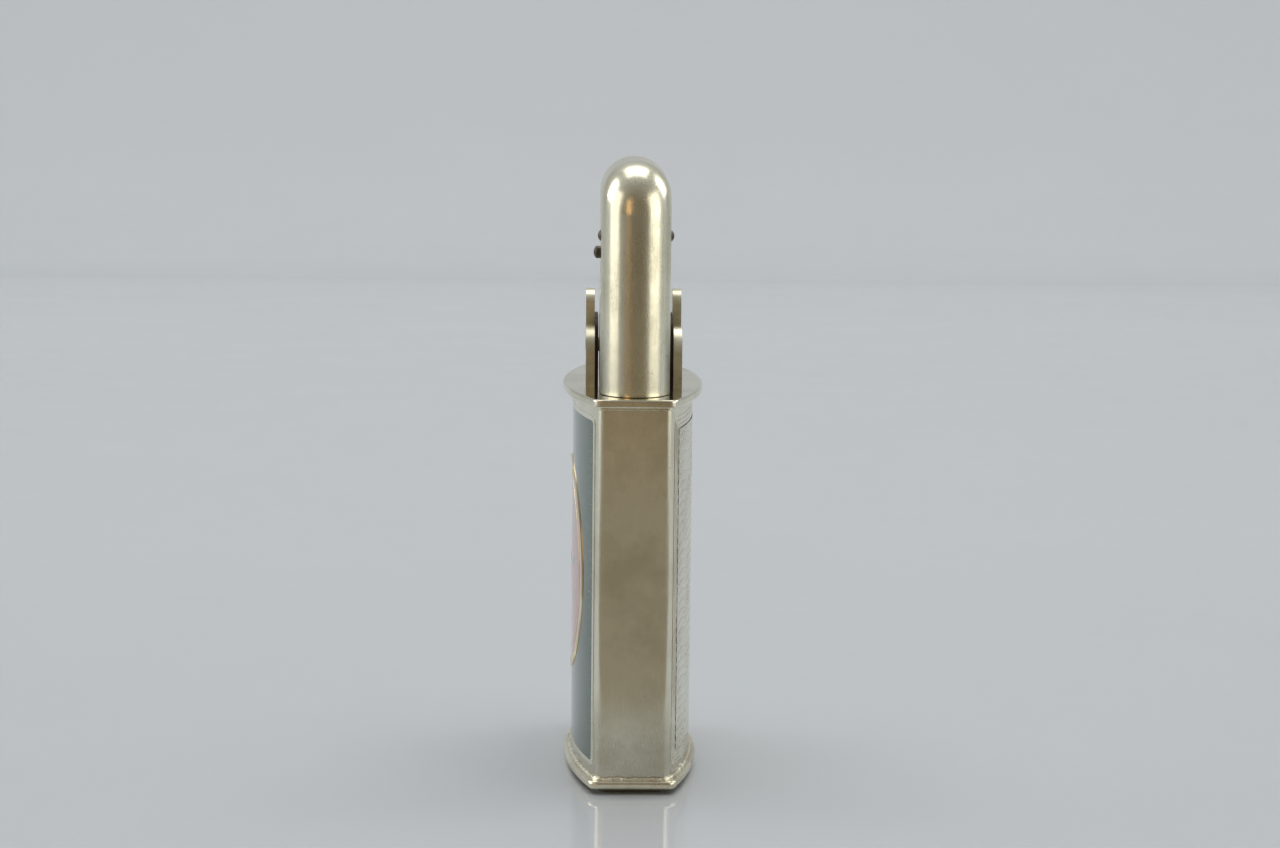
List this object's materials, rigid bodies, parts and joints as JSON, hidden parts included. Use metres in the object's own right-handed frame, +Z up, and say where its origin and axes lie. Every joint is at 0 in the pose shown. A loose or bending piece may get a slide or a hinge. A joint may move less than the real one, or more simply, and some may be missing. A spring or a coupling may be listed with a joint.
{
  "type": "lipstick case",
  "caption": "Flat lens-shaped metal lipstick case with enamelled side, round-nosed hinged hood with mirror, and a lipstick raised by a thumb slide.",
  "frame": {"origin": "centre of the underside of the base plate", "axes": "+Z up along the case, +Y towards the thumb slide end, +X towards the engine-turned side"},
  "size_m": [0.0162, 0.0349, 0.0713],
  "materials": {
    "case_silver": "polished silver, hand worn",
    "foot_silver": "polished silver",
    "solder_bead": "bright solder line",
    "base_silver": "tarnished silver",
    "deck_silver": "mirror polished silver with fine scratches",
    "green_enamel": "glossy grey-green vitreous enamel",
    "frame_silver": "polished silver",
    "pink_enamel": "glossy pink vitreous enamel",
    "gilt_wire": "gilt wire",
    "engine_turned_silver": "engine-turned with fine diagonal lines",
    "reed_silver": "polished reeding",
    "lug_silver": "polished silver",
    "pin_steel": "darkened steel",
    "tube_brass": "drawn brass",
    "collar_gilt": "polished gilt",
    "hood_silver": "polished silver with small pits",
    "knuckle_silver": "drawn tube",
    "cheek_dark": "blackened steel",
    "mirror_face": "silvered glass",
    "mirror_frame_silver": "polished silver",
    "rivet_dark": "tarnished silver",
    "lip_colour": "waxy red lip colour",
    "cup_gilt": "polished gilt",
    "carriage_brass": "turned brass",
    "ring_steel": "spring steel",
    "thumb_silver": "polished silver, ribbed"
  },
  "bodies": {
    "case": {"body_shell": "case_silver", "foot_moulding": "foot_silver", "foot_bead": "solder_bead", "base_plate": "base_silver", "deck_plate": "deck_silver", "enamel_panel": "green_enamel", "enamel_frame": "frame_silver", "medallion_enamel": "pink_enamel", "medallion_wire": "gilt_wire", "engine_turned_panel": "engine_turned_silver", "reeded_border": "reed_silver", "hinge_lug_left": "lug_silver", "hinge_lug_right": "lug_silver", "hinge_cheeks": "cheek_dark", "rim_moulding": "foot_silver", "hinge_pin": "pin_steel", "guide_tube": "tube_brass", "guide_foot_ring": "tube_brass", "mouth_collar": "collar_gilt", "slot_bezel": "frame_silver"},
    "hood": {"hood_shell": "hood_silver", "pivot_tube": "knuckle_silver", "mirror_glass": "mirror_face", "mirror_frame": "mirror_frame_silver", "mirror_rivets": "rivet_dark", "thumb_nib": "rivet_dark"},
    "lipstick": {"lipstick_bullet": "lip_colour", "lipstick_cup": "cup_gilt", "carriage": "carriage_brass", "carriage_arm": "carriage_brass", "brake_ring": "ring_steel", "thumb_slide": "thumb_silver", "thumb_rivet": "rivet_dark"}
  },
  "joints": [
    {"name": "hood_hinge", "type": "hinge", "parent": "case", "child": "hood", "pos_m": [0, -0.005, 0.05], "axis": [-1, 0, 0], "range_deg": [0, 90]},
    {"name": "lipstick_slide", "type": "slide", "parent": "case", "child": "lipstick", "axis": [0, 0, 1], "range_m": [0, 0.0125]}
  ]
}
